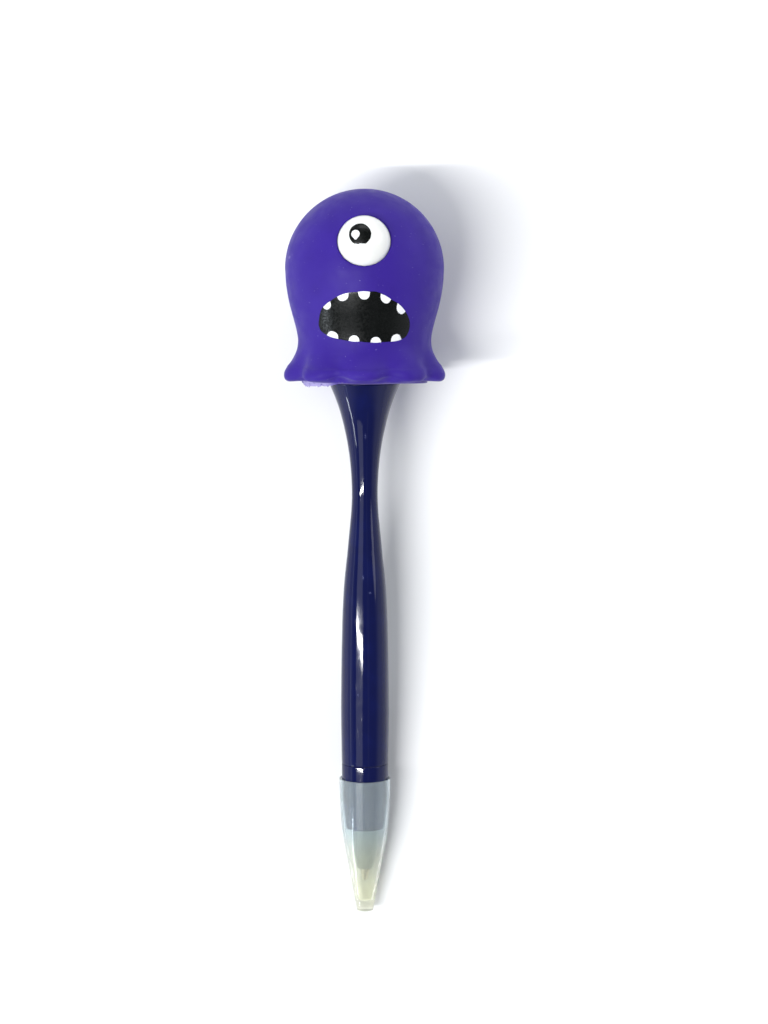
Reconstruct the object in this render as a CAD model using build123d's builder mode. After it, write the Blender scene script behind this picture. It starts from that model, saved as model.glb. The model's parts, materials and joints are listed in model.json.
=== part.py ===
"""Capped novelty ballpoint pen with a hollow, squeezable one-eyed monster head.

The pen lies face up on a flat surface at z = 0: its head points to +Y, its face to +Z, and it
rests on two lobes of the head's skirt and on the belly of its cap.  Stations are distances
along the pen's axis, in millimetres, from the flat end of the cap towards the head.
"""
from build123d import *
import os
from math import atan, cos, degrees, pi, radians, sin

# ---- driving dimensions, mm and degrees -------------------------------------------------
# lengths along the pen
cap_length = 32.7
cap_overlap = 12.2          # how far the nose section reaches into the closed cap
nose_length = 15.9
cone_length = 10.0
point_reach = 3.2           # the writing point's length in front of its cone
barrel_length = 97.1

# cap
cap_end_r = 2.0
cap_quarter_r = 3.85        # outer radius at the cap's lower third
cap_wall = 0.7
cap_rim_wall = 0.5
cap_floor = 2.6
cap_end_round = 0.5
cap_corner_wall = 0.4       # at the foot of the cap's hollow
cap_grip_run = 4.0          # the stretch of the cap that grips the nose section

# nose section and barrel
nose_end_r = 4.6
nose_land_r = 5.6           # the land that the cap grips
nose_land_run = 5.0
seam_r = 5.62
belly_r = 5.78
belly_run = 14.9            # seam to the barrel's thickest place
waist_wall = 1.2
waist_drop = 32.5           # barrel top to its waist
flare_step = 1.5            # how far the flare stands out below the groove for the head
socket_wall = 1.02          # round the nose section's spigot
spigot_length = 8.0
bore_taper = 1.6            # how much wider the bore is at its mouth than at its end
groove_wall = 1.4           # between the groove and the hollow moulded into the barrel's top
recess_depth = 18.0
recess_end_r = 2.0

# refill and writing point
tube_r = 1.5
tube_wall = 0.45
tube_length = 82.0
tube_foot = 1.0             # the shoulder between the point's shank and the tube
bore_headroom = 1.0         # above the tube
ink_length = 58.0
cone_r = 3.45
cone_tip_r = 1.9
cone_spigot_wall = 1.05
cone_spigot_length = 6.0
shank_r = 1.1
shank_length = 5.5
point_tip_r = 0.62
point_land = 0.8            # the straight part of the point that shows in front of the cone
ball_r = 0.5
ball_show = 0.3             # how far the ball stands out of its housing
ink_way_r = 0.35

# head
head_r = 18.8
neck_r = 15.8
neck_rise = 9.4             # hem to neck
widest_rise = 16.9          # neck to the widest place, the dome's centre
cheek_rise = 7.9            # neck to the cheek
lobe_count = 9
valley_r = 17.1
lobe_depth = 2.2
bulge_rise = 1.6            # hem to the lobes' thickest place
fall_rise = 5.6             # hem to the middle of the skirt's slope
head_wall = 2.0
hem_wall = 2.1              # between the plate's seat and the valleys
seat_step = 1.0             # the shoulder above the plate
hem_round = 1.0
plate_thickness = 2.5
plate_drop = 0.7            # how far the plate stands out below the hem
lip_height = 2.6            # the barrel's retaining lip above the plate
lip_width = 1.8             # how far the lip stands out of the groove
lip_bevel = 0.8
groove_r = 7.0

# eye
eye_tilt = 23.0             # from the face's normal towards the top of the head
eye_r = 6.15
eye_proud = 4.0             # how far the eye stands out of the dome at rest
eye_travel = 5.0
eye_wall = 1.2
eye_neck_ease = 0.25         # how much slimmer the eyeball is behind its widest place
eye_neck_fall = 1.8
eye_flange_width = 1.6
eye_flange_thickness = 1.2
collar_wall = 1.8
collar_depth = 1.2          # how far the collar reaches in from the skin's inner face

# clearances, each on the radius
cap_clearance = 0.05
spigot_clearance = 0.05
tube_clearance = 0.25       # round the tube, in the nose section
bore_clearance = 0.4        # round the tube, at the end of the barrel's bore
cap_nose_clearance = 0.3    # between the nose section's end and the cap
ink_clearance = 0.02
shank_clearance = 0.01
ball_clearance = 0.02
plate_clearance = 0.05
eye_clearance = 0.1
end_clearance = 0.1         # between end faces
overcut = 1.0               # how far a cutting form runs past what it cuts
spigot_end_gap = 0.6        # above the nose section's spigot
bore_step = 1.0             # the cone from the socket down to the bore

# ---- radii that follow from what they fit -------------------------------------------------
cap_belly_r = nose_end_r + cap_nose_clearance + cap_wall
cap_rim_r = nose_land_r + cap_clearance + cap_rim_wall
socket_r = seam_r - socket_wall
bore_end_r = tube_r + bore_clearance
bore_r = bore_end_r + bore_taper
waist_r = bore_end_r + waist_wall
cone_spigot_r = tube_r + cone_spigot_wall
flare_r = groove_r + flare_step
lip_r = groove_r + lip_width
recess_r = groove_r - groove_wall
plate_r = valley_r - hem_wall
lobe_r = valley_r + lobe_depth
fall_r = (lobe_r + neck_r) / 2 - 0.75
cheek_r = 0.4 * neck_r + 0.6 * head_r
eye_flange_r = eye_r + eye_flange_width
eye_neck_r = eye_r - eye_neck_ease
# The lobed form that cuts the valleys: its lobes stand outside the skirt's own skin.
form_lobe_r = lobe_r + 0.5
form_neck_r = neck_r + 0.8

# ---- stations along the pen -------------------------------------------------------------
nose_end = cap_length - cap_overlap
seam = nose_end + nose_length
cone_end = nose_end - cone_length
point_end = cone_end - point_reach
barrel_top = seam + barrel_length
plate_top = barrel_top - lip_height
plate_low = plate_top - plate_thickness
hem = plate_low + plate_drop
neck = hem + neck_rise
widest = neck + widest_rise
head_top = widest + head_r
waist = barrel_top - waist_drop
belly = seam + belly_run
cap_belly = nose_end
tube_low = cone_end + shank_length + tube_foot
tube_high = tube_low + tube_length


def lobed_r(out_r, in_r, turn):
    """Radius of a lobed section, turn radians round from the middle of a lobe."""
    return (out_r + in_r) / 2 + (out_r - in_r) / 2 * cos(lobe_count * turn)


# ---- how the pen lies -------------------------------------------------------------------
# The lowest place of the two back lobes: a valley points straight down between them.
half_pitch = pi / lobe_count
skirt_reach = 0
for k in range(41):
    turn = half_pitch * k / 40
    skirt_r = min(lobe_r, lobed_r(form_lobe_r, valley_r, half_pitch - turn))
    skirt_reach = max(skirt_reach, skirt_r * cos(turn))
touch_run = hem + bulge_rise - cap_belly
tilt = degrees(atan((skirt_reach - cap_belly_r) / touch_run))
lift = cap_belly_r * cos(radians(tilt)) - cap_belly * sin(radians(tilt))
mid_y = (widest * cos(radians(tilt)) + head_r) / 2

# The pen's plane: x across, y along the axis towards the head, z out of the face.
pen = Plane(
    origin=(0, -mid_y, lift),
    x_dir=(1, 0, 0),
    z_dir=(0, -sin(radians(tilt)), cos(radians(tilt))),
)
axis = Axis(pen.origin, pen.y_dir)

# The eye's plane: y out along the eye's own axis, from the dome's centre.
eye_way = pen.z_dir * cos(radians(eye_tilt)) + pen.y_dir * sin(radians(eye_tilt))
dome_centre = pen.origin + pen.y_dir * widest
eye_plane = Plane(origin=dome_centre, x_dir=pen.x_dir, z_dir=pen.x_dir.cross(eye_way))
eye_axis = Axis(dome_centre, eye_way)


def station(s):
    """The plane across the pen at station s; its -y side is the face's side."""
    return Plane(origin=pen.origin + pen.y_dir * s, x_dir=pen.x_dir, z_dir=pen.y_dir)


os.makedirs("parts", exist_ok=True)

# ---- cap: translucent bullet, flat end, thin rim that grips the nose section ---------------
cap_mid = cap_belly / 2
rim_inner_r = nose_land_r + cap_clearance
cap_floor_r = cap_end_r - cap_corner_wall
rim_land = cap_length - cap_grip_run
with BuildPart() as cap:
    with BuildSketch(pen):
        with BuildLine():
            Line((0, 0), (cap_end_r, 0))
            Spline(
                (cap_end_r, 0),
                (cap_quarter_r, cap_mid),
                (cap_belly_r, cap_belly),
                (cap_rim_r, cap_length - 2.5),
            )
            Line((cap_rim_r, cap_length - 2.5), (cap_rim_r, cap_length))
            Line((cap_rim_r, cap_length), (rim_inner_r, cap_length))
            Line((rim_inner_r, cap_length), (rim_inner_r, rim_land))
            Spline(
                (rim_inner_r, rim_land),
                (cap_belly_r - cap_wall, cap_belly),
                (cap_quarter_r - cap_wall, cap_mid),
                (cap_floor_r, cap_floor),
            )
            Line((cap_floor_r, cap_floor), (0, cap_floor))
            Line((0, cap_floor), (0, 0))
        make_face()
    revolve(axis=axis)
    flat_end = cap.faces().sort_by(axis)[0]
    fillet(flat_end.edges(), cap_end_round)
cap.part.label = "cap"
export_step(cap.part, "parts/cap.step")

# ---- nose section: tapered navy tube, a land for the cap and a spigot into the barrel ------
nose_bore_r = tube_r + tube_clearance
cone_socket_r = cone_spigot_r + shank_clearance
cone_socket_top = nose_end + cone_spigot_length + end_clearance
spigot_r = socket_r - spigot_clearance
spigot_top = seam + spigot_length
nose_land = cap_length - nose_land_run
with BuildPart() as nose_section:
    with BuildSketch(pen):
        with BuildLine():
            Line((cone_socket_r, nose_end), (nose_end_r, nose_end))
            Line((nose_end_r, nose_end), (nose_land_r, nose_land))
            Line((nose_land_r, nose_land), (nose_land_r, cap_length))
            Line((nose_land_r, cap_length), (seam_r, seam))
            Line((seam_r, seam), (spigot_r, seam))
            Line((spigot_r, seam), (spigot_r, spigot_top))
            Line((spigot_r, spigot_top), (nose_bore_r, spigot_top))
            Line((nose_bore_r, spigot_top), (nose_bore_r, cone_socket_top))
            Line((nose_bore_r, cone_socket_top), (cone_socket_r, cone_socket_top))
            Line((cone_socket_r, cone_socket_top), (cone_socket_r, nose_end))
        make_face()
    revolve(axis=axis)
nose_section.part.label = "nose_section"
export_step(nose_section.part, "parts/nose_section.step")

# ---- tip cone: grey plastic point holder, pressed into the nose section ------------------
tube_seat_r = tube_r + shank_clearance
point_seat_r = shank_r + shank_clearance
tube_seat = tube_low - end_clearance
cone_top = nose_end + cone_spigot_length
with BuildPart() as tip_cone:
    with BuildSketch(pen):
        with BuildLine():
            Line((point_seat_r, cone_end), (cone_tip_r, cone_end))
            Spline(
                (cone_tip_r, cone_end),
                (cone_r, nose_end - end_clearance),
                tangents=((0.24, 1), (0.08, 1)),
            )
            Line((cone_r, nose_end - end_clearance), (cone_spigot_r, nose_end - end_clearance))
            Line((cone_spigot_r, nose_end - end_clearance), (cone_spigot_r, cone_top))
            Line((cone_spigot_r, cone_top), (tube_seat_r, cone_top))
            Line((tube_seat_r, cone_top), (tube_seat_r, tube_seat))
            Line((tube_seat_r, tube_seat), (point_seat_r, tube_seat))
            Line((point_seat_r, tube_seat), (point_seat_r, cone_end))
        make_face()
    revolve(axis=axis)
tip_cone.part.label = "tip_cone"
export_step(tip_cone.part, "parts/tip_cone.step")

# ---- point housing: turned metal, carries the ball and feeds it through a thin way --------
ball_centre = point_end + ball_r
housing_front = point_end + ball_show
shank_end = cone_end + shank_length
with BuildPart() as point_housing:
    with BuildSketch(pen):
        with BuildLine():
            Line((ink_way_r, housing_front), (point_tip_r, housing_front))
            Line((point_tip_r, housing_front), (shank_r, cone_end - point_land))
            Line((shank_r, cone_end - point_land), (shank_r, shank_end))
            Line((shank_r, shank_end), (ink_way_r, shank_end))
            Line((ink_way_r, shank_end), (ink_way_r, housing_front))
        make_face()
    revolve(axis=axis)
    with Locations(pen.origin + pen.y_dir * ball_centre):
        Sphere(ball_r + ball_clearance, mode=Mode.SUBTRACT)
point_housing.part.label = "point_housing"
export_step(point_housing.part, "parts/point_housing.step")

with BuildPart() as writing_ball:
    with Locations(pen.origin + pen.y_dir * ball_centre):
        Sphere(ball_r)
writing_ball.part.label = "writing_ball"
export_step(writing_ball.part, "parts/writing_ball.step")

# ---- refill: clear tube and the ink in it -------------------------------------------------
tube_inner_r = tube_r - tube_wall
with BuildPart() as refill_tube:
    with BuildSketch(station(tube_low)):
        Circle(tube_r)
        Circle(tube_inner_r, mode=Mode.SUBTRACT)
    extrude(amount=tube_length)
refill_tube.part.label = "refill_tube"
export_step(refill_tube.part, "parts/refill_tube.step")

with BuildPart() as ink_column:
    with BuildSketch(station(tube_low)):
        Circle(tube_inner_r - ink_clearance)
    extrude(amount=ink_length)
ink_column.part.label = "ink_column"
export_step(ink_column.part, "parts/ink_column.step")

# ---- barrel: belly, waist and flare in one piece, snap groove for the head ----------------
bore_top = tube_high + bore_headroom
socket_top = seam + spigot_length + spigot_end_gap
with BuildPart() as barrel:
    with BuildSketch(pen):
        with BuildLine():
            Line((socket_r, seam), (seam_r, seam))
            Spline(
                (seam_r, seam),
                (belly_r, belly),
                (belly_r - 0.62, waist - 23.4),
                (belly_r - 1.73, waist - 11.8),
                (waist_r, waist),
                (waist_r + 0.6, waist + 10.2),
                (waist_r + 2.32, waist + 18.9),
                (flare_r, plate_low),
            )
            Line((flare_r, plate_low), (groove_r, plate_low))
            Line((groove_r, plate_low), (groove_r, plate_top))
            Line((groove_r, plate_top), (lip_r, plate_top))
            Line((lip_r, plate_top), (lip_r - lip_bevel, barrel_top))
            Line((lip_r - lip_bevel, barrel_top), (recess_r, barrel_top))
            Line((recess_r, barrel_top), (recess_end_r, barrel_top - recess_depth))
            Line((recess_end_r, barrel_top - recess_depth), (0, barrel_top - recess_depth))
            Line((0, barrel_top - recess_depth), (0, bore_top))
            Line((0, bore_top), (bore_end_r, bore_top))
            Line((bore_end_r, bore_top), (bore_r, socket_top + bore_step))
            Line((bore_r, socket_top + bore_step), (socket_r, socket_top))
            Line((socket_r, socket_top), (socket_r, seam))
        make_face()
    revolve(axis=axis)
barrel.part.label = "barrel"
export_step(barrel.part, "parts/barrel.step")

# ---- head plate: soft disc that closes the skirt and snaps into the barrel's groove --------
with BuildPart() as head_plate:
    with BuildSketch(station(plate_low)):
        Circle(plate_r - plate_clearance)
        Circle(groove_r + plate_clearance, mode=Mode.SUBTRACT)
    extrude(amount=plate_thickness)
    outer_rims = head_plate.edges().filter_by(GeomType.CIRCLE).sort_by(SortBy.RADIUS)[-2:]
    fillet(outer_rims.sort_by(axis)[0], 0.4)
head_plate.part.label = "head_plate"
export_step(head_plate.part, "parts/head_plate.step")

# ---- head skin: hollow soft dome, nine-lobed skirt, collar that guides the eye --------------
# What the valleys take away: a ring round a lobed form that meets the skirt below the neck.
with BuildPart() as skirt_form:
    for rise, out_r, in_r in ((-overcut, form_lobe_r, valley_r), (neck_rise, form_lobe_r, form_neck_r)):
        with BuildSketch(station(hem + rise)):
            with BuildLine():
                outline = []
                for k in range(lobe_count * 4):
                    turn = 2 * pi * k / (lobe_count * 4)
                    r = lobed_r(out_r, in_r, turn)
                    outline.append((r * sin(turn), -r * cos(turn)))
                Spline(*outline, periodic=True)
            make_face()
    loft()
with BuildPart() as valleys:
    with BuildSketch(station(hem - overcut)):
        Circle(form_lobe_r + overcut)
    extrude(amount=neck_rise + overcut)
    add(skirt_form.part, mode=Mode.SUBTRACT)

inner_r = head_r - head_wall
step_top = plate_top + end_clearance
step_r = plate_r - seat_step
with BuildPart() as head_skin:
    with BuildSketch(pen):
        with BuildLine():
            Line((0, hem), (lobe_r - hem_round, hem))
            Spline(
                (lobe_r - hem_round, hem),
                (lobe_r, hem + bulge_rise),
                tangents=((1, 0.15), (0, 1)),
            )
            Spline(
                (lobe_r, hem + bulge_rise),
                (fall_r, hem + fall_rise),
                (neck_r, neck),
                tangents=((0, 1), (0, 1)),
            )
            Spline(
                (neck_r, neck),
                (cheek_r, neck + cheek_rise),
                (head_r, widest),
                tangents=((0, 1), (0, 1)),
            )
            RadiusArc((head_r, widest), (0, head_top), -head_r)
            Line((0, head_top), (0, hem))
        make_face()
    revolve(axis=axis)
    add(valleys.part, mode=Mode.SUBTRACT)
    # hollow: a seat for the plate, then the skin's inner face
    with BuildSketch(pen):
        with BuildLine():
            Line((0, hem - overcut), (plate_r, hem - overcut))
            Line((plate_r, hem - overcut), (plate_r, step_top))
            Line((plate_r, step_top), (step_r, step_top))
            Spline(
                (step_r, step_top),
                (neck_r - head_wall, neck),
                (cheek_r - head_wall, neck + cheek_rise),
                (inner_r, widest),
            )
            RadiusArc((inner_r, widest), (0, widest + inner_r), -inner_r)
            Line((0, widest + inner_r), (0, hem - overcut))
        make_face()
    revolve(axis=axis, mode=Mode.SUBTRACT)
    # collar round the eye, inside the skin, and the hole through both
    collar_inner_r = eye_r + eye_clearance
    collar_outer_r = collar_inner_r + collar_wall
    collar_low = (inner_r**2 - collar_outer_r**2) ** 0.5 - collar_depth
    collar_high = (inner_r**2 - collar_inner_r**2) ** 0.5 + head_wall / 3
    with BuildSketch(eye_plane):
        with Locations((0, collar_low)):
            Rectangle(collar_outer_r, collar_high - collar_low, align=(Align.MIN, Align.MIN))
    revolve(axis=eye_axis)
    with BuildSketch(eye_plane):
        with Locations((0, collar_low - overcut)):
            Rectangle(collar_inner_r, eye_r + eye_proud, align=(Align.MIN, Align.MIN))
    revolve(axis=eye_axis, mode=Mode.SUBTRACT)
head_skin.part.label = "head_skin"
export_step(head_skin.part, "parts/head_skin.step")

# ---- eyeball: hollow domed cup with a flange that stops it on the collar -------------------
eye_apex = head_r + eye_proud
eye_centre = eye_apex - eye_r
flange_high = collar_low - eye_travel
flange_low = flange_high - eye_flange_thickness
eye_inner_r = eye_r - eye_wall
with BuildPart() as eyeball:
    with BuildSketch(eye_plane):
        with BuildLine():
            Line((eye_inner_r, flange_low), (eye_flange_r, flange_low))
            Line((eye_flange_r, flange_low), (eye_flange_r, flange_high))
            Line((eye_flange_r, flange_high), (eye_neck_r, flange_high))
            Line((eye_neck_r, flange_high), (eye_neck_r, eye_centre - eye_neck_fall))
            Line((eye_neck_r, eye_centre - eye_neck_fall), (eye_r, eye_centre))
            RadiusArc((eye_r, eye_centre), (0, eye_apex), -eye_r)
            Line((0, eye_apex), (0, eye_apex - eye_wall))
            RadiusArc((0, eye_apex - eye_wall), (eye_inner_r, eye_centre), eye_inner_r)
            Line((eye_inner_r, eye_centre), (eye_inner_r, flange_low))
        make_face()
    revolve(axis=eye_axis)
eyeball.part.label = "eyeball"
export_step(eyeball.part, "parts/eyeball.step")
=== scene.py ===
"""Looks of a capped ballpoint pen with a soft one-eyed monster head, lying face up on a pale table.

Lengths marked mm are in millimetres along the pen's own axes: x across, s along the pen from the
cap's flat end towards the head, z out of the face.  PEN turns them into the row frame's metres.
"""

import json
from math import atan2, cos, pi, radians, sin, sqrt

import bmesh
import bpy
from mathutils import Matrix, Vector, noise


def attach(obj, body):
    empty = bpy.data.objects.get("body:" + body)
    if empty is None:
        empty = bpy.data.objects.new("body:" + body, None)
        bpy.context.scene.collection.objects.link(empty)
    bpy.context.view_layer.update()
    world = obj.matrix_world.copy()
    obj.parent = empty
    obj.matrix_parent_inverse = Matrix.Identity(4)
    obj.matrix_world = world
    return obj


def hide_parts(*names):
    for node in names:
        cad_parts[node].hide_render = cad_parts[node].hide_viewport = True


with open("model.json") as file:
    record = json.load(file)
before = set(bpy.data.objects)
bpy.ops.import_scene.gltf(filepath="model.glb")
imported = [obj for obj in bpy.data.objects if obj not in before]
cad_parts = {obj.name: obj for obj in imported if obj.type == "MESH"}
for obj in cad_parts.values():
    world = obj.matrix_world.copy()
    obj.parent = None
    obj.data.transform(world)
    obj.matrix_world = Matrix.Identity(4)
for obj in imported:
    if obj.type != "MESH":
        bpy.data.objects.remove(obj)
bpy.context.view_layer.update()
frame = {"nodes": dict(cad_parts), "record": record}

MM = 0.001
record = frame["record"]
joints = {j["name"]: j for j in record["behaviour"]["joints"]}
mounts = {m["name"]: m for m in record["mounts"]}

# ---- the pen's own axes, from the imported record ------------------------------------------
along = Vector(joints["cap_pull"]["axis"]).normalized()
across = Vector((1, 0, 0))
outward = across.cross(along)
cap_end = Vector(mounts["cap_end"]["pos_m"])
PEN = Matrix.Translation(cap_end) @ Matrix((across, along, outward)).transposed().to_4x4()
eye_way = Vector(joints["eye_pop"]["axis"]).normalized()

# ---- sizes, mm, as in the part -------------------------------------------------------------
CAP_LENGTH = 32.7
NOSE_END = 20.5
SEAM = 36.4
CONE_END = 10.5
BARREL_TOP = 133.5
PLATE_TOP = 130.9
PLATE_LOW = 128.4
HEM = 129.1
NECK = 138.5
WIDEST = 155.4
HEAD_R = 18.8
HEAD_WALL = 2.0
LOBES = 9
EYE_R = 6.15
EYE_APEX = 22.8
COLLAR_LOW = 13.55
COLLAR_HIGH = 15.6
COLLAR_R = 8.0
FLANGE_HIGH = 8.54
FLANGE_LOW = 7.35
FLANGE_REACH = 1.6
EYE_WALL = 1.2
EYE_NECK_EASE = 0.25
CAP_FLOOR = 2.6
CAP_RIM_R = 6.15
CAP_BORE_R = 5.65
NOSE_R = 5.6
SEAM_R = 5.62
PLATE_HOLE_R = 7.05
PLATE_EDGE_R = 14.92
TUBE_SEAT_R = 1.51
POINT_SEAT_R = 1.11

DOME = PEN @ Vector((0, WIDEST * MM, 0))
EYE = Matrix.Translation(DOME) @ Matrix((across, eye_way, across.cross(eye_way))).transposed().to_4x4()


# ---- curves ---------------------------------------------------------------------------------
def smooth(points, per_span=8):
    """Points (r, s) along a centripetal Catmull-Rom curve through the given ones."""
    ends = [(2 * points[0][0] - points[1][0], 2 * points[0][1] - points[1][1])]
    ends.append((2 * points[-1][0] - points[-2][0], 2 * points[-1][1] - points[-2][1]))
    pts = [Vector(p) for p in [ends[0]] + list(points) + [ends[1]]]
    out = []
    for i in range(1, len(pts) - 2):
        p0, p1, p2, p3 = pts[i - 1 : i + 3]
        t0 = 0.0
        t1 = t0 + sqrt((p1 - p0).length)
        t2 = t1 + sqrt((p2 - p1).length)
        t3 = t2 + sqrt((p3 - p2).length)
        for k in range(per_span):
            t = t1 + (t2 - t1) * k / per_span
            a1 = p0 * ((t1 - t) / (t1 - t0)) + p1 * ((t - t0) / (t1 - t0))
            a2 = p1 * ((t2 - t) / (t2 - t1)) + p2 * ((t - t1) / (t2 - t1))
            a3 = p2 * ((t3 - t) / (t3 - t2)) + p3 * ((t - t2) / (t3 - t2))
            b1 = a1 * ((t2 - t) / (t2 - t0)) + a2 * ((t - t0) / (t2 - t0))
            b2 = a2 * ((t3 - t) / (t3 - t1)) + a3 * ((t - t1) / (t3 - t1))
            c = b1 * ((t2 - t) / (t2 - t1)) + b2 * ((t - t1) / (t2 - t1))
            out.append((c.x, c.y))
    out.append(tuple(points[-1]))
    return out


def arc(centre, radius, start, end, steps=12):
    """Points (r, s) round a centre (r, s), angles in degrees from the +r direction."""
    out = []
    for k in range(steps + 1):
        a = radians(start + (end - start) * k / steps)
        out.append((centre[0] + radius * cos(a), centre[1] + radius * sin(a)))
    return out


def rounded(points, radius=0.2, steps=4):
    """The closed outline with each of its corners rounded off."""
    out = []
    n = len(points)
    for i, p in enumerate(points):
        here = Vector(p)
        back = Vector(points[i - 1]) - here
        on = Vector(points[(i + 1) % n]) - here
        if here.x < 1e-6 or back.length < 1e-6 or on.length < 1e-6:
            out.append(p)
            continue
        turn = back.angle(on)
        if turn > radians(150):
            out.append(p)
            continue
        cut = min(radius, 0.4 * back.length, 0.4 * on.length)
        a = here + back.normalized() * cut
        b = here + on.normalized() * cut
        for k in range(steps + 1):
            f = k / steps
            q = a * (1 - f) ** 2 + here * 2 * f * (1 - f) + b * f * f
            out.append((q.x, q.y))
    return out


# ---- meshes -------------------------------------------------------------------------------
def put(name, verts, faces, material, body, node=None, slot=None, sharp=40):
    """A mesh piece from points already in the row frame, riding on a body."""
    mesh = bpy.data.meshes.new(name)
    mesh.from_pydata([tuple(v) for v in verts], [], faces)
    mesh.validate()
    bm = bmesh.new()
    bm.from_mesh(mesh)
    bmesh.ops.remove_doubles(bm, verts=bm.verts, dist=1e-7)
    bmesh.ops.recalc_face_normals(bm, faces=bm.faces)
    bm.to_mesh(mesh)
    bm.free()
    mesh.shade_smooth()
    mesh.set_sharp_from_angle(angle=radians(sharp))
    obj = bpy.data.objects.new(name, mesh)
    bpy.context.scene.collection.objects.link(obj)
    obj.data.materials.append(material)
    finish_piece(obj, body, node)
    return obj


def finish_piece(obj, body, node=None):
    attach(obj, body)
    if node:
        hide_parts(node)


def turned(profile, place, sectors=96, shape=None, closed=True):
    """Verts and faces of an outline (r, s) in mm turned round the local y axis of place."""
    verts = []
    rings = []
    for r, s in profile:
        if r < 1e-6:
            verts.append(place @ Vector((0, s * MM, 0)))
            rings.append([len(verts) - 1] * sectors)
            continue
        ring = []
        for k in range(sectors):
            a = 2 * pi * k / sectors
            p = Vector((r * sin(a), s, r * cos(a)))
            if shape:
                p = shape(p, a)
            verts.append(place @ (p * MM))
            ring.append(len(verts) - 1)
        rings.append(ring)
    faces = []
    count = len(rings)
    for i in range(count if closed else count - 1):
        one, two = rings[i], rings[(i + 1) % count]
        for k in range(sectors):
            m = (k + 1) % sectors
            corner = [one[k], one[m], two[m], two[k]]
            face = list(dict.fromkeys(corner))
            if len(face) > 2:
                faces.append(face)
    return verts, faces


FILM_SUNK = 0.06
FILM_EDGE = 0.45


def film(name, outline, centre, surface, place, material, body, slot, lift=0.04, rings=14):
    """A thin closed coat of paint in an outline round a centre, both in mm, laid on a surface.

    surface(u, v) gives a point of the surface and its normal, in mm in the axes of place.
    """
    verts = []
    faces = []
    count = len(outline)
    rims = []
    for height in (lift, -FILM_SUNK):
        grid = []
        for i in range(1, rings + 1):
            f = i / rings
            # the coat is thinner right at its edge, as wet paint dries
            h = lift * FILM_EDGE if i == rings and height > 0 else height
            ring = []
            for u, v in outline:
                p, n = surface(centre[0] + (u - centre[0]) * f, centre[1] + (v - centre[1]) * f)
                verts.append(place @ ((p + n * h) * MM))
                ring.append(len(verts) - 1)
            grid.append(ring)
        p, n = surface(*centre)
        verts.append(place @ ((p + n * height) * MM))
        middle = len(verts) - 1
        for k in range(count):
            m = (k + 1) % count
            faces.append([middle, grid[0][k], grid[0][m]])
            for i in range(rings - 1):
                faces.append([grid[i][k], grid[i + 1][k], grid[i + 1][m], grid[i][m]])
        rims.append(grid[-1])
    for k in range(count):
        m = (k + 1) % count
        faces.append([rims[0][k], rims[1][k], rims[1][m], rims[0][m]])
    return put(name, verts, faces, material, body, slot=slot, sharp=60)


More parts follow.
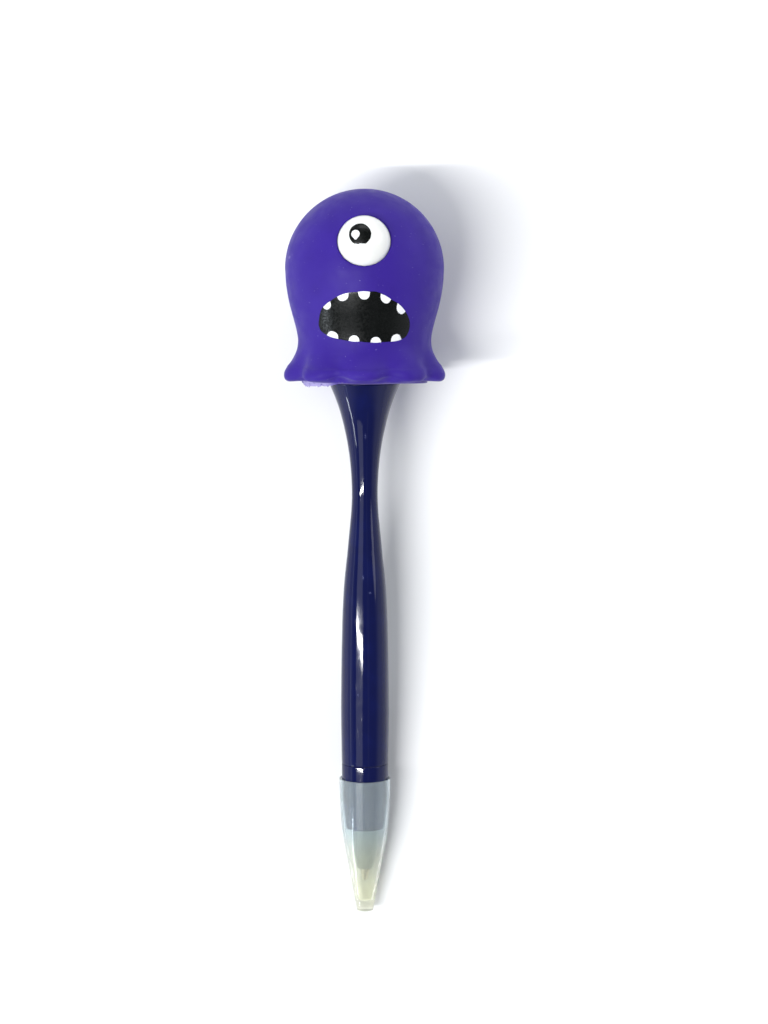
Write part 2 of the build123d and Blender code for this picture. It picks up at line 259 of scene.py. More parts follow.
# ---- materials ----------------------------------------------------------------------------
class Look:
    """A Principled material and the few procedural layers that the pieces share."""

    def __init__(self, name, colour, roughness, **sockets):
        self.mat = bpy.data.materials.new(name)
        self.mat.use_nodes = True
        self.nodes = self.mat.node_tree.nodes
        self.links = self.mat.node_tree.links
        self.bsdf = self.nodes["Principled BSDF"]
        self.colour = colour
        self.set("Base Color", (*colour, 1))
        self.set("Roughness", roughness)
        for key, value in sockets.items():
            self.set(key.replace("_", " "), value)
        coord = self.nodes.new("ShaderNodeTexCoord")
        self.place = coord.outputs["Object"]
        self.bump = None

    def set(self, socket, value):
        self.bsdf.inputs[socket].default_value = value

    def noise(self, size_mm, detail=3.0, stretch=(1, 1, 1), seed=0.0, rough=0.5):
        """Noise from 0 to 1 with features of about size_mm."""
        move = self.nodes.new("ShaderNodeMapping")
        move.inputs["Scale"].default_value = stretch
        move.inputs["Location"].default_value = (seed, seed * 0.7, seed * 0.3)
        tex = self.nodes.new("ShaderNodeTexNoise")
        tex.inputs["Scale"].default_value = 1 / (size_mm * MM)
        tex.inputs["Detail"].default_value = detail
        tex.inputs["Roughness"].default_value = rough
        self.links.new(self.place, move.inputs["Vector"])
        self.links.new(move.outputs["Vector"], tex.inputs["Vector"])
        return tex.outputs["Fac"]

    def spread(self, value, low, high, to_low=0.0, to_high=1.0):
        """value from low..high turned to to_low..to_high, smoothly and clamped."""
        node = self.nodes.new("ShaderNodeMapRange")
        node.interpolation_type = "SMOOTHSTEP"
        node.inputs["From Min"].default_value = low
        node.inputs["From Max"].default_value = high
        node.inputs["To Min"].default_value = to_low
        node.inputs["To Max"].default_value = to_high
        self.links.new(value, node.inputs["Value"])
        return node.outputs["Result"]

    def math(self, operation, a, b):
        node = self.nodes.new("ShaderNodeMath")
        node.operation = operation
        for k, value in enumerate((a, b)):
            if isinstance(value, (int, float)):
                node.inputs[k].default_value = value
            else:
                self.links.new(value, node.inputs[k])
        return node.outputs[0]

    def tint(self, mask, colour):
        """Lays colour over what the base colour already is, where mask is 1."""
        mix = self.nodes.new("ShaderNodeMix")
        mix.data_type = "RGBA"
        base = self.bsdf.inputs["Base Color"]
        colours = [s for s in mix.inputs if s.type == "RGBA"]
        if base.is_linked:
            self.links.new(base.links[0].from_socket, colours[0])
        else:
            colours[0].default_value = (*self.colour, 1)
        colours[1].default_value = (*colour, 1)
        self.links.new(mask, mix.inputs["Factor"])
        result = [s for s in mix.outputs if s.type == "RGBA"][0]
        self.links.new(result, base)
        return self

    def rough(self, value):
        self.links.new(value, self.bsdf.inputs["Roughness"])
        return self

    def relief(self, height, depth_mm, strength=1.0):
        """Adds a bump layer of that depth on top of the earlier ones."""
        node = self.nodes.new("ShaderNodeBump")
        node.inputs["Strength"].default_value = strength
        node.inputs["Distance"].default_value = depth_mm * MM
        self.links.new(height, node.inputs["Height"])
        if self.bump:
            self.links.new(self.bump, node.inputs["Normal"])
        self.bump = node.outputs["Normal"]
        self.links.new(self.bump, self.bsdf.inputs["Normal"])
        return self

    def spot(self, place, radius_mm, stretch=(1, 1, 1), turn=0.0, soft=0.5):
        """1 inside an ellipsoid round a point of the pen's axes (mm), 0 outside it."""
        centre = PEN @ (Vector(place) * MM)
        shift = self.nodes.new("ShaderNodeVectorMath")
        shift.operation = "SUBTRACT"
        shift.inputs[1].default_value = centre
        self.links.new(self.place, shift.inputs[0])
        move = self.nodes.new("ShaderNodeMapping")
        move.inputs["Rotation"].default_value = (0, 0, turn)
        move.inputs["Scale"].default_value = stretch
        self.links.new(shift.outputs[0], move.inputs["Vector"])
        length = self.nodes.new("ShaderNodeVectorMath")
        length.operation = "LENGTH"
        self.links.new(move.outputs["Vector"], length.inputs[0])
        reach = radius_mm * MM
        return self.spread(length.outputs["Value"], reach * (1 - soft), reach, 1.0, 0.0)


def vinyl(name, colour, light, dark):
    """Soft PVC: satin, a fine mould grain, faint clouding and a few rubbed places."""
    look = Look(name, colour, 0.5, Specular_IOR_Level=0.12, Subsurface_Weight=0.05)
    look.set("Subsurface Radius", (0.0012, 0.0006, 0.0022))
    look.set("Sheen Weight", 0.02)
    look.set("Sheen Roughness", 0.5)
    look.tint(look.spread(look.noise(9, 2), 0.42, 0.72, 0, 0.55), light)
    look.tint(look.spread(look.noise(5, 3, seed=4), 0.5, 0.8, 0, 0.5), dark)
    specks = look.spread(look.noise(0.5, 2, seed=9), 0.735, 0.76)
    look.tint(look.math("MULTIPLY", specks, 0.25), (0.45, 0.40, 0.62))
    look.rough(look.spread(look.noise(3, 4, seed=2), 0.3, 0.7, 0.44, 0.58))
    look.relief(look.noise(0.22, 2, seed=1), 0.012)
    look.relief(look.noise(4.5, 2, seed=6), 0.05)
    return look


def gloss(name, colour):
    """Polished injection moulding: hard gloss, faint sink and hairline scratches."""
    look = Look(name, colour, 0.06, Specular_IOR_Level=0.25)
    look.tint(look.spread(look.noise(7, 2, seed=3), 0.45, 0.75, 0, 0.5), [c * 1.5 for c in colour])
    hair = look.spread(look.noise(0.35, 1, stretch=(1, 0.06, 1), seed=5), 0.70, 0.76)
    polish = look.spread(look.noise(2.5, 4), 0.3, 0.75, 0.04, 0.10)
    look.rough(look.math("ADD", polish, look.math("MULTIPLY", hair, 0.12)))
    look.relief(look.noise(6, 1, seed=8), 0.035)
    look.relief(hair, -0.004)
    return look


purple = vinyl("soft_vinyl_purple", (0.033, 0.0135, 0.225), (0.039, 0.0165, 0.255), (0.029, 0.0115, 0.198))
nick = purple.spot((-17.4, 158.2, 6.0), 0.9, stretch=(0.8, 1.6, 0.8), soft=0.8)
purple.tint(purple.math("MULTIPLY", nick, 0.35), (0.30, 0.26, 0.55))

# the plate is a lighter purple than the skin: partly the cut vinyl's own tone, partly painted highlight, so
# that its rim shows as a lit line under the hem
plate_look = vinyl("soft_vinyl_plate", (0.075, 0.050, 0.27), (0.12, 0.09, 0.34), (0.045, 0.026, 0.20))
# a paler ragged patch on the left, the lit side: partly the moulding flash's own pale vinyl, partly painted
# highlight
flash_and_highlight_place = plate_look.spot((-12.3, PLATE_LOW, 9.0), 7.5, soft=0.4)
flash_and_highlight_pale = plate_look.math("MULTIPLY", flash_and_highlight_place, 0.7)
flash_grain = plate_look.spread(plate_look.noise(0.6, 3), 0.25, 0.5)
plate_look.tint(plate_look.math("MULTIPLY", flash_and_highlight_pale, flash_grain), (0.46, 0.42, 0.66))

navy = gloss("gloss_navy", (0.0026, 0.0048, 0.047))
# rubbed marks on the barrel: place in mm, radius, stretch, turn
SCUFFS = (
    ((0.2, 116.0, 4.6), 0.75, (2.2, 0.8, 1), 0.3),
    ((-0.4, 82.3, 4.8), 0.8, (2.5, 0.8, 1), 0.5),
    ((1.3, 78.6, 5.0), 0.6, (1.2, 1.6, 1), -0.4),
    ((-1.6, 54.0, 5.5), 0.5, (2.0, 1.0, 1), 0.9),
)
for place, reach, stretch, turn in SCUFFS:
    mark = navy.spot(place, reach, stretch, turn, soft=0.9)
    grain = navy.spread(navy.noise(0.25, 2, seed=place[1]), 0.4, 0.6)
    navy.tint(navy.math("MULTIPLY", navy.math("MULTIPLY", mark, grain), 0.5), (0.16, 0.18, 0.36))

white = Look("gloss_white_eye", (0.79, 0.79, 0.765), 0.14, Specular_IOR_Level=0.5)
white.set("Subsurface Weight", 0.35)
white.set("Subsurface Radius", (0.002, 0.0018, 0.0015))
white.tint(white.spread(white.noise(4, 3), 0.5, 0.8, 0, 0.4), (0.76, 0.76, 0.725))
white.rough(white.spread(white.noise(1.5, 3, seed=3), 0.3, 0.7, 0.12, 0.22))
white.relief(white.noise(2.5, 2, seed=2), 0.012)

ink_black = Look("print_black", (0.0028, 0.0034, 0.0032), 0.2, Specular_IOR_Level=0.17)
ink_black.tint(ink_black.spread(ink_black.noise(1.2, 3), 0.5, 0.75, 0, 0.6), (0.0055, 0.0065, 0.006))
ink_black.rough(ink_black.spread(ink_black.noise(0.6, 4, seed=2), 0.3, 0.7, 0.18, 0.36))
ink_black.relief(ink_black.noise(0.5, 3, seed=5), 0.012)

ink_white = Look("print_white", (0.80, 0.80, 0.82), 0.35)
ink_white.tint(ink_white.spread(ink_white.noise(0.9, 3), 0.45, 0.75, 0, 0.7), (0.66, 0.66, 0.71))
ink_white.rough(ink_white.spread(ink_white.noise(0.4, 2, seed=2), 0.3, 0.7, 0.28, 0.42))
ink_white.relief(ink_white.noise(0.35, 2, seed=7), 0.006)

milky = Look("milky_cap", (0.80, 0.89, 0.92), 0.4, IOR=1.25, Transmission_Weight=0.87)
milky.set("Coat Weight", 0.5)
milky.set("Coat Roughness", 0.06)
milky.set("Specular IOR Level", 0.45)
milky.tint(milky.spread(milky.noise(5, 2), 0.4, 0.7, 0, 0.5), (0.80, 0.90, 0.93))
milky.tint(milky.spot((0, 4, 0), 19, soft=0.55), (0.93, 0.95, 0.86))
milky.tint(milky.spot((0, 0, 0), 12, soft=0.7), (0.97, 0.975, 0.83))
milky.rough(milky.spread(milky.noise(4, 2, seed=3), 0.3, 0.7, 0.14, 0.20))
milky.relief(milky.noise(3, 1, seed=5), 0.01)

grey = Look("grey_point_holder", (0.33, 0.37, 0.33), 0.35, Transmission_Weight=0.15)
grey.tint(grey.spread(grey.noise(2.5, 3), 0.4, 0.7, 0, 0.5), (0.42, 0.46, 0.40))
grey.rough(grey.spread(grey.noise(0.8, 3, seed=2), 0.3, 0.7, 0.3, 0.45))
grey.relief(grey.noise(0.3, 2, seed=4), 0.006)

nickel = Look("turned_point", (0.62, 0.58, 0.47), 0.25, Metallic=1.0)
nickel.tint(nickel.spread(nickel.noise(0.7, 3), 0.45, 0.75, 0, 0.6), (0.45, 0.41, 0.32))
nickel.rough(nickel.spread(nickel.noise(0.3, 2, seed=2), 0.3, 0.7, 0.18, 0.36))
nickel.relief(nickel.noise(0.12, 2, stretch=(0.1, 1, 0.1), seed=4), 0.004)

carbide = Look("carbide_ball", (0.30, 0.30, 0.31), 0.12, Metallic=1.0)
carbide.tint(carbide.spread(carbide.noise(0.4, 2), 0.4, 0.7, 0, 0.6), (0.12, 0.13, 0.2))
carbide.rough(carbide.spread(carbide.noise(0.2, 2, seed=2), 0.3, 0.7, 0.08, 0.2))

clear = Look("clear_tube", (0.85, 0.86, 0.86), 0.22, Transmission_Weight=0.8, IOR=1.48)
clear.tint(clear.spread(clear.noise(4, 2), 0.4, 0.7, 0, 0.5), (0.75, 0.77, 0.76))
clear.rough(clear.spread(clear.noise(1, 3, stretch=(1, 0.1, 1), seed=2), 0.3, 0.7, 0.15, 0.3))
clear.relief(clear.noise(0.5, 2, stretch=(1, 0.1, 1), seed=4), 0.004)

paste = Look("writing_paste", (0.006, 0.01, 0.09), 0.2)
paste.tint(paste.spread(paste.noise(3, 2), 0.4, 0.7, 0, 0.6), (0.01, 0.015, 0.14))
paste.rough(paste.spread(paste.noise(1, 2, seed=2), 0.3, 0.7, 0.12, 0.3))


# ---- head skin: hollow soft vinyl, nine lobes round its hem, a lip round the eye ------------
LOBE_LINE = [
    (18.3, 129.1), (19.05, 129.6), (19.3, 130.7), (18.75, 132.1), (17.6, 133.5), (16.75, 134.9),
    (16.1, 136.4), (15.8, 138.5), (16.1, 140.7), (16.8, 143.5), (17.6, 146.4), (18.2, 149.2),
    (18.6, 152.0), (HEAD_R, WIDEST),
]
# how much nearer the axis the valleys between the lobes are, at stations along the pen
VALLEY_DEPTH = [
    (129.1, 1.9), (130.7, 2.2), (132.1, 1.9), (133.5, 1.15), (134.9, 0.6), (136.4, 0.2), (NECK, 0.0),
]
SEAT_R = 15.0
SEAT_TOP = 131.0
LOBE_FULLNESS = 1.6
FRONT_LIFT = 1.15
LIFT_REACH = 5.0


def between(points, at):
    """The second value of a table of pairs at a first value, in straight runs."""
    if at <= points[0][0]:
        return points[0][1]
    for (a, low), (b, high) in zip(points, points[1:]):
        if at <= b:
            return low + (high - low) * (at - a) / (b - a)
    return points[-1][1]


SKIN_LINE = smooth(LOBE_LINE, 10)
SKIN_BY_S = [(s, r) for r, s in SKIN_LINE]


def lobe_share(a):
    """1 in the middle of a lobe, 0 in the narrow valley between two."""
    return 1 - (1 - (1 + cos(LOBES * a)) / 2) ** LOBE_FULLNESS


def skin_r(s, a):
    """Radius of the head's outside at a station and an angle from the face."""
    if s > WIDEST:
        return sqrt(max(0, HEAD_R**2 - (s - WIDEST) ** 2))
    return between(SKIN_BY_S, s) - between(VALLEY_DEPTH, s) * (1 - lobe_share(a))


def front_lift(a):
    """How far the soft hem rides up under the face."""
    return FRONT_LIFT * max(0, cos(a)) ** 1.5


def lobed(p, a):
    """Pulls the turned skirt in between its lobes, and lifts the hem a little there."""
    r = sqrt(p.x**2 + p.z**2)
    if p.y >= NECK or r <= SEAT_R + 0.05:
        return p
    dip = 1 - lobe_share(a)
    share = min(1, (r - SEAT_R) / 2.2)
    r2 = r - between(VALLEY_DEPTH, p.y) * dip * share
    low = max(0, 1 - (p.y - HEM) / LIFT_REACH)
    up = (0.6 * dip - 0.3 * (1 - dip)) * share * low + front_lift(a) * low
    return Vector((p.x * r2 / r, p.y + up, p.z * r2 / r))


def local_object(name, verts, faces):
    mesh = bpy.data.meshes.new(name)
    mesh.from_pydata([tuple(v) for v in verts], [], faces)
    bm = bmesh.new()
    bm.from_mesh(mesh)
    bmesh.ops.recalc_face_normals(bm, faces=bm.faces)
    bm.to_mesh(mesh)
    bm.free()
    obj = bpy.data.objects.new(name, mesh)
    bpy.context.scene.collection.objects.link(obj)
    return obj


def applied(obj, kind, **settings):
    """Adds a modifier and makes its result the mesh."""
    mod = obj.modifiers.new(kind, kind)
    for key, value in settings.items():
        setattr(mod, key, value)
    depsgraph = bpy.context.evaluated_depsgraph_get()
    mesh = bpy.data.meshes.new_from_object(obj.evaluated_get(depsgraph))
    obj.modifiers.clear()
    old = obj.data
    obj.data = mesh
    bpy.data.meshes.remove(old)


# The skin is worked in millimetres in the pen's axes, then laid in the row frame.
MILLI = Matrix.Scale(1 / MM, 4)
eye_in_pen = PEN.inverted() @ EYE
inside_r = HEAD_R - HEAD_WALL
outline = SKIN_LINE + arc((0, WIDEST), HEAD_R, 4, 90, 30)
outline += arc((0, WIDEST), inside_r, 90, 0, 24)
outline += smooth([(inside_r, WIDEST), (15.6, 146.4), (13.8, NECK), (13.9, 134.5), (14.0, SEAT_TOP)], 5)[1:]
outline += [(SEAT_R, SEAT_TOP), (SEAT_R, HEM)]
skin = local_object("head_skin_soft", *turned(outline, MILLI, 216, lobed))

eye_hole_r = EYE_R + 0.03
collar = [(0, COLLAR_LOW), (COLLAR_R, COLLAR_LOW), (COLLAR_R, COLLAR_HIGH), (0, COLLAR_HIGH)]
plug = local_object("plug", *turned(rounded(collar, 0.4), MILLI @ eye_in_pen, 96))
bore = [(0, 5), (eye_hole_r, 5), (eye_hole_r, 30), (0, 30)]
drill = local_object("drill", *turned(bore, MILLI @ eye_in_pen, 96))
applied(skin, "BOOLEAN", object=plug, operation="UNION", solver="EXACT")
applied(skin, "BOOLEAN", object=drill, operation="DIFFERENCE", solver="EXACT")
for tool in (plug, drill):
    bpy.data.objects.remove(tool)
applied(skin, "REMESH", mode="VOXEL", voxel_size=0.3)
applied(skin, "SMOOTH", factor=0.5, iterations=5)

# back onto the true outside, which the remesh leaves slightly stepped
SNAP = 0.3
NEAR_EYE_R = 7.3
for v in skin.data.vertices:
    p = v.co
    r = sqrt(p.x**2 + p.z**2)
    e = eye_in_pen.inverted() @ (p * MM) * (1 / MM)
    if sqrt(e.x**2 + e.z**2) < NEAR_EYE_R and e.y > 10:
        continue
    if p.y > WIDEST:
        d = p - Vector((0, WIDEST, 0))
        if abs(d.length - HEAD_R) < SNAP:
            v.co = Vector((0, WIDEST, 0)) + d.normalized() * HEAD_R
    elif p.y > 132.5 and r > 14.6:
        to = skin_r(p.y, atan2(p.x, p.z))
        if abs(to - r) < SNAP:
            v.co = Vector((p.x * to / r, p.y, p.z * to / r))

lay = PEN @ Matrix.Scale(MM, 4)
skin.data.transform(lay)
skin.data.shade_smooth()
skin.data.materials.clear()
skin.data.materials.append(purple.mat)
finish_piece(skin, "pen", "head_skin")


# ---- printed mouth and teeth ------------------------------------------------------------------
def loop(points, per_span=6):
    """A smooth closed line through the points."""
    count = len(points)
    line = smooth([points[-1], *points, points[0], points[1]], per_span)
    return line[per_span : per_span * (count + 1)]


def on_face(x, s):
    """The head's outside in front of a point (x, s), and its normal, in the pen's axes."""
    r = skin_r(s, 0)
    z = sqrt(max(0.01, r * r - x * x))
    slope = (skin_r(s + 0.2, 0) - skin_r(s - 0.2, 0)) / 0.4
    return Vector((x, s, z)), Vector((x / r, -slope, z / r)).normalized()


TOOTH_WIDTH = 0.465
TOOTH_REACH = 0.82


def tooth(left, right, tip, steps=22):
    """Half-round tooth on a base between two points of the mouth's edge."""
    left, right, tip = Vector(left), Vector(right), Vector(tip)
    middle = (left + right) / 2
    half = (right - left) * TOOTH_WIDTH
    reach = (tip - middle) * TOOTH_REACH
    out = []
    for k in range(steps + 1):
        a = pi * k / steps
        full = abs(cos(a)) ** 0.9 * (1 if cos(a) > 0 else -1)
        out.append(middle - half * full + reach * sin(a) ** 0.9)
    for k in range(1, 6):
        f = k / 6
        out.append(middle + half * (1 - 2 * f) - reach * 0.08 * sin(pi * f))
    return [(p.x, p.y) for p in out], tuple(middle + reach * 0.35)


MOUTH = [
    (-10.6, 143.0), (-9.8, 146.6), (-8.1, 148.2), (-6.3, 149.4), (-3.5, 150.4), (0, 150.6),
    (3.0, 150.6), (6.3, 148.8), (8.2, 147.6), (9.7, 145.7), (10.4, 144.2), (10.6, 142.9),
    (10.3, 141.1), (9.4, 139.8), (7.3, 139.1), (4.4, 138.85), (0.4, 138.85), (-1.1, 139.05),
    (-3.8, 139.2), (-6.1, 139.6), (-8.6, 140.4), (-10.1, 141.4), (-10.5, 142.4),
]
film("mouth_print", loop(MOUTH), (0, 144.3), on_face, PEN, ink_black.mat, "pen", "plate", rings=26)

TEETH = [
    ((-9.5, 146.9), (-7.8, 148.4), (-7.9, 146.4)),
    ((-6.3, 149.4), (-3.5, 150.4), (-4.45, 148.2)),
    ((-1.5, 150.6), (1.5, 150.6), (0.1, 148.4)),
    ((3.8, 150.2), (6.3, 148.8), (4.5, 147.7)),
    ((7.7, 148.0), (9.6, 145.9), (7.8, 145.4)),
    ((-8.7, 140.4), (-5.9, 139.6), (-7.0, 141.6)),
    ((-3.7, 139.2), (-1.0, 139.05), (-2.2, 140.8)),
    ((1.4, 138.85), (4.0, 138.85), (2.7, 140.4)),
    ((6.1, 138.95), (8.7, 139.4), (7.3, 141.0)),
]
for number, ends in enumerate(TEETH, 1):
    edge, middle = tooth(*ends)
    name = f"tooth_print_{number}"
    film(name, edge, middle, on_face, PEN, ink_white.mat, "pen", "eye", lift=0.07, rings=6)


# ---- eyeball and what is printed on it --------------------------------------------------------
EYE_CENTRE = EYE_APEX - EYE_R
EYE_NECK = EYE_R - EYE_NECK_EASE
eye_inner = EYE_R - EYE_WALL
flange_r = EYE_R + FLANGE_REACH
eye_line = [(0, EYE_APEX - EYE_WALL)] + arc((0, EYE_CENTRE), eye_inner, 85, 0, 16)
eye_line += [(eye_inner, FLANGE_LOW), (flange_r, FLANGE_LOW), (flange_r, FLANGE_HIGH)]
eye_line += [(EYE_NECK, FLANGE_HIGH), (EYE_NECK, EYE_CENTRE - 2.4)]
eye_line += smooth(
    [(EYE_NECK, EYE_CENTRE - 1.8), (EYE_NECK + 0.14, EYE_CENTRE - 0.9), (EYE_R, EYE_CENTRE)], 5
)
eye_line += arc((0, EYE_CENTRE), EYE_R, 2, 90, 44)
put("eyeball_gloss", *turned(rounded(eye_line, 0.3), EYE, 128), white.mat, "eye", "eyeball", "eye")

ball_place = Matrix.Translation(EYE @ Vector((0, EYE_CENTRE * MM, 0)))


def on_eye(u, v):
    """The eyeball's outside over a point seen from above, and its normal."""
    n = Vector((u, v, sqrt(max(0.01, EYE_R**2 - u * u - v * v)))) / EYE_R
    return n * EYE_R, n


PUPIL = (-0.87, 1.27)
PUPIL_R = 2.54
PUPIL_FLAT = -2.2
DRIP_AT = -0.48
DRIP_HALF = 0.3
DRIP = 0.33
pupil_edge = []
for k in range(96):
    a = 2 * pi * k / 96
    wave = 1 + 0.006 * sin(5 * a + 1) + 0.004 * sin(11 * a)
    u = PUPIL_R * wave * cos(a)
    v = max(PUPIL_R * wave * sin(a), PUPIL_FLAT)
    # the drip that the print left under the flat it has at the bottom
    v -= DRIP * max(0, 1 - ((u - DRIP_AT) / DRIP_HALF) ** 2) if v < PUPIL_FLAT + 0.3 else 0
    pupil_edge.append((PUPIL[0] + u, PUPIL[1] + v))
film("pupil_print", pupil_edge, PUPIL, on_eye, ball_place, ink_black.mat, "eye", "plate", rings=16)

GLINT = (-1.9, 1.3)
GLINT_R = 0.98
GLINT_TAIL = 0.36
glint_edge = []
for k in range(48):
    a = 2 * pi * k / 48
    r = GLINT_R + GLINT_TAIL * max(0, cos(a + pi / 2)) ** 14
    glint_edge.append((GLINT[0] + r * cos(a), GLINT[1] + r * sin(a)))
film("glint_print", glint_edge, GLINT, on_eye, ball_place, ink_white.mat, "eye", "eye", lift=0.07, rings=8)


# ---- barrel, nose section and point holder ------------------------------------------------------
barrel_line = smooth(
    [
        (SEAM_R, SEAM), (5.78, 51.3), (5.16, 77.6), (4.05, 89.2), (3.1, 101.0), (3.7, 111.2),
        (5.42, 119.9), (6.88, 124.5), (8.5, PLATE_LOW),
    ],
    16,
)
barrel_line += [(7.0, PLATE_LOW), (7.0, PLATE_TOP), (8.8, PLATE_TOP), (8.0, BARREL_TOP), (5.6, BARREL_TOP)]
barrel_line += [(2.0, 115.5), (0, 115.5), (0, 100), (1.9, 100), (3.5, 46.0), (4.6, 45.0), (4.6, SEAM)]
put("barrel_gloss", *turned(rounded(barrel_line, 0.22), PEN, 128), navy.mat, "pen", "barrel", "barrel")

nose_line = [(2.56, NOSE_END)]
nose_line += smooth([(4.6, NOSE_END), (5.1, 24.1), (5.45, 26.9), (5.58, 29.0), (NOSE_R, 31.0)], 6)
nose_line += [(NOSE_R, CAP_LENGTH), (SEAM_R, SEAM), (4.55, SEAM)]
nose_line += [(4.55, 44.4), (1.75, 44.4), (1.75, 26.6), (2.56, 26.6)]
put("nose_gloss", *turned(rounded(nose_line, 0.25), PEN, 112), navy.mat, "pen", "nose_section", "nose")

cone_line = smooth([(1.9, CONE_END), (2.44, 12.98), (2.87, 15.45), (3.21, 17.93), (3.45, 20.4)], 6)
cone_line += [(2.55, 20.4), (2.55, 26.5), (TUBE_SEAT_R, 26.5), (TUBE_SEAT_R, 16.9)]
cone_line += [(POINT_SEAT_R, 16.9), (POINT_SEAT_R, CONE_END)]
put("cone_moulded", *turned(rounded(cone_line, 0.18), PEN, 80), grey.mat, "pen", "tip_cone", "cone")

# ---- cap: thin, milky, with a thick end and a plain rim ----------------------------------------
cap_line = [(0, 0), (2.0, 0)]
cap_line += smooth([(2.06, 0.35), (3.85, 10.25), (5.6, 20.5), (6.12, 30.0), (CAP_RIM_R, CAP_LENGTH)], 12)
cap_line += [(CAP_BORE_R, CAP_LENGTH)]
cap_line += smooth(
    [(CAP_BORE_R, 30.6), (5.63, 28.6), (5.5, 26.4), (4.92, 20.5), (3.15, 10.25), (1.6, CAP_FLOOR)], 12
)
cap_line += [(0, CAP_FLOOR)]
put("cap_milky", *turned(rounded(cap_line, 0.3, 5), PEN, 128), milky.mat, "cap", "cap", "cap")


# ---- plate under the head: soft disc with a ragged moulding flash on one side --------------------
FLASH_AT = radians(50)
FLASH_HALF = radians(30)
FLASH_FROM_R = 14.4
FLASH_MOST = 0.35
PLATE_SKIN = 1.2
BEND_FROM_R = 9
BEND_OVER = 6


def flash(p, a):
    """Lifts the plate's rim with the hem and lets the flash hang from its underside."""
    r = sqrt(p.x**2 + p.z**2)
    underside = p.y < PLATE_LOW + 0.4
    if r > BEND_FROM_R and p.y < PLATE_LOW + PLATE_SKIN:
        p = p + Vector((0, 0.85 * front_lift(a) * (r - BEND_FROM_R) / BEND_OVER, 0))
    if r < FLASH_FROM_R or p.y > PLATE_LOW + PLATE_SKIN:
        return p
    # a runs from the face, so the flash is to the left of it
    side = max(0, 1 - abs(a - 2 * pi + FLASH_AT) / FLASH_HALF)
    rag = noise.noise(Vector((a * 23, p.y * 1.5, 0))) + 0.5 * noise.noise(Vector((a * 61, 0, 3)))
    grow = min(FLASH_MOST, side * (0.15 + 0.5 * max(0, rag)))
    rough = 0.04 * noise.noise(Vector((a * 19, p.y, 7)))
    scale = (r + grow + rough) / r
    drop = 0.0
    if underside:
        drop = min(1.0, 1.8 * side) * (0.75 + 0.45 * rag)
    return Vector((p.x * scale, p.y - max(0, drop), p.z * scale))


plate_line = [(PLATE_HOLE_R, PLATE_LOW), (13.6, PLATE_LOW), (14.3, PLATE_LOW)]
plate_line += [(PLATE_EDGE_R, PLATE_LOW + step) for step in (0.05, 0.5, 1.0)]
plate_line += [(PLATE_EDGE_R, PLATE_TOP), (PLATE_HOLE_R, PLATE_TOP)]
plate_mesh = turned(rounded(plate_line, 0.15), PEN, 288, flash)
put("plate_soft", *plate_mesh, plate_look.mat, "pen", "head_plate", "plate")

# ---- the CAD's own pieces that stay, with their finishes -----------------------------------------
KEPT = {"point_housing": nickel, "writing_ball": carbide, "refill_tube": clear, "ink_column": paste}
for node, look in KEPT.items():
    piece = frame["nodes"][node]
    piece.data.materials.clear()
    piece.data.materials.append(look.mat)

# ---- floor, light and camera ----------------------------------------------------------------------
paper = Look("pale_floor", (0.79, 0.79, 0.795), 0.75, Specular_IOR_Level=0.15)
paper.tint(paper.spread(paper.noise(60, 2), 0.4, 0.7, 0, 0.4), (0.775, 0.78, 0.79))
paper.rough(paper.spread(paper.noise(2, 2, seed=2), 0.3, 0.7, 0.7, 0.85))
bm = bmesh.new()
bmesh.ops.create_grid(bm, x_segments=8, y_segments=8, size=1.6)
floor_mesh = bpy.data.meshes.new("floor")
bm.to_mesh(floor_mesh)
bm.free()
floor = bpy.data.objects.new("floor", floor_mesh)
floor.data.materials.append(paper.mat)
bpy.context.scene.collection.objects.link(floor)

bpy.context.scene.view_settings.view_transform = "Standard"

world = bpy.data.worlds.new("studio")
world.use_nodes = True
bpy.context.scene.world = world


def room(tree, high, low_left, low_right):
    """A room that is dark overhead and bright low down, more so on the left."""
    coord = tree.nodes.new("ShaderNodeTexCoord")
    split = tree.nodes.new("ShaderNodeSeparateXYZ")
    tree.links.new(coord.outputs["Generated"], split.inputs[0])
    side = tree.nodes.new("ShaderNodeMapRange")
    side.interpolation_type = "SMOOTHSTEP"
    rise = tree.nodes.new("ShaderNodeMapRange")
    rise.interpolation_type = "SMOOTHSTEP"
    for node, output, values in (
        (side, "X", (-0.8, 0.8, low_left, low_right)),
        (rise, "Z", (0.2, 0.6, 1.0, 0.0)),
    ):
        for name, value in zip(("From Min", "From Max", "To Min", "To Max"), values):
            node.inputs[name].default_value = value
        tree.links.new(split.outputs[output], node.inputs["Value"])
    glow = tree.nodes.new("ShaderNodeMath")
    glow.operation = "MULTIPLY"
    tree.links.new(side.outputs[0], glow.inputs[0])
    tree.links.new(rise.outputs[0], glow.inputs[1])
    total = tree.nodes.new("ShaderNodeMath")
    total.operation = "ADD"
    tree.links.new(glow.outputs[0], total.inputs[0])
    total.inputs[1].default_value = high
    tree.links.new(total.outputs[0], tree.nodes["Background"].inputs["Strength"])
    tree.nodes["Background"].inputs["Color"].default_value = (0.93, 0.965, 1.0, 1)


room(world.node_tree, 0.26, 0.62, 0.75)

MIDDLE = Vector((0, 0, 0.015))


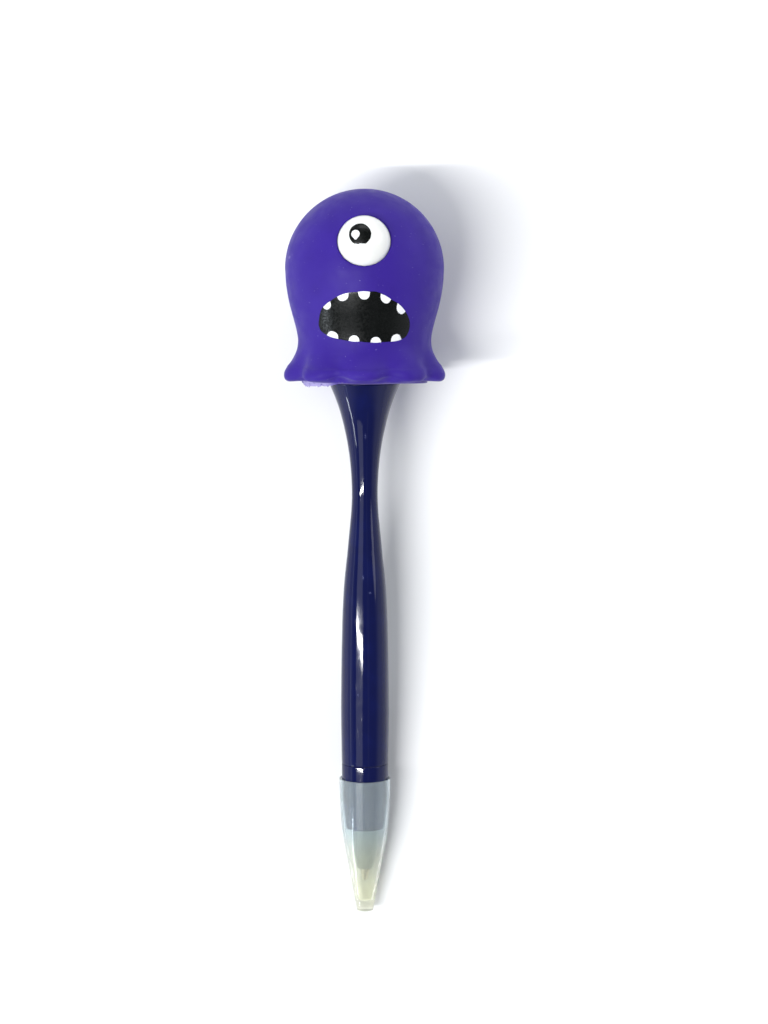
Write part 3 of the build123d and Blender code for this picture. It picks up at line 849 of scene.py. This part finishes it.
def soft_light(name, way, distance, wide, long, watts, colour):
    """A rectangular lamp: its wide side lies across the pen, its long side along it."""
    light = bpy.data.lights.new(name, "AREA")
    light.shape = "RECTANGLE"
    light.size = wide
    light.size_y = long
    light.energy = watts
    light.color = colour
    obj = bpy.data.objects.new(name, light)
    back = Vector(way).normalized()
    side = (Vector((1, 0, 0)) - back * back.x).normalized()
    turn = Matrix((side, back.cross(side), back)).transposed().to_4x4()
    obj.matrix_world = Matrix.Translation(MIDDLE + back * distance) @ turn
    bpy.context.scene.collection.objects.link(obj)


# name, direction from the pen, distance m, wide m, long m, watts, colour
LAMPS = (
    ("key", (-0.50, -0.272, 1.0), 1.3, 0.74, 0.03, 13.5, (1, 1, 1)),
    ("ceiling", (-0.52, -0.13, 1.0), 1.4, 0.8, 1.7, 7.2, (0.93, 0.97, 1.0)),
    ("window_bar", (-0.945, -0.1, 0.32), 1.5, 0.05, 2.5, 1.3, (0.75, 0.88, 1.0)),
    ("window_glow", (-0.85, -0.52, 0.21), 1.5, 0.05, 0.7, 3.6, (0.85, 0.93, 1.0)),
    ("far_bar", (0.30, -0.2, 1.0), 1.5, 0.05, 2.0, 0.2, (0.9, 0.95, 1.0)),
    ("fill_right", (0.9, 0.3, 0.30), 1.5, 0.4, 1.6, 6.5, (0.95, 0.97, 1.0)),
    ("fill_top", (0.15, 0.9, 0.40), 1.5, 1.4, 0.4, 8.0, (0.95, 0.97, 1.0)),
)
for lamp in LAMPS:
    soft_light(*lamp)

SENSOR = 36
FOCAL = 93.4
CAMERA_PLACE = (0.0046, 0.0102, 0.65)
camera = bpy.data.cameras.new("photo_view")
camera.sensor_width = SENSOR
camera.sensor_fit = "VERTICAL"
camera.sensor_height = SENSOR
camera.lens = FOCAL
camera.clip_start = 0.01
camera.clip_end = 20
eye_point = bpy.data.objects.new("photo_view", camera)
eye_point.location = CAMERA_PLACE
eye_point.rotation_euler = (0, 0, 0)
bpy.context.scene.collection.objects.link(eye_point)
bpy.context.scene.camera = eye_point
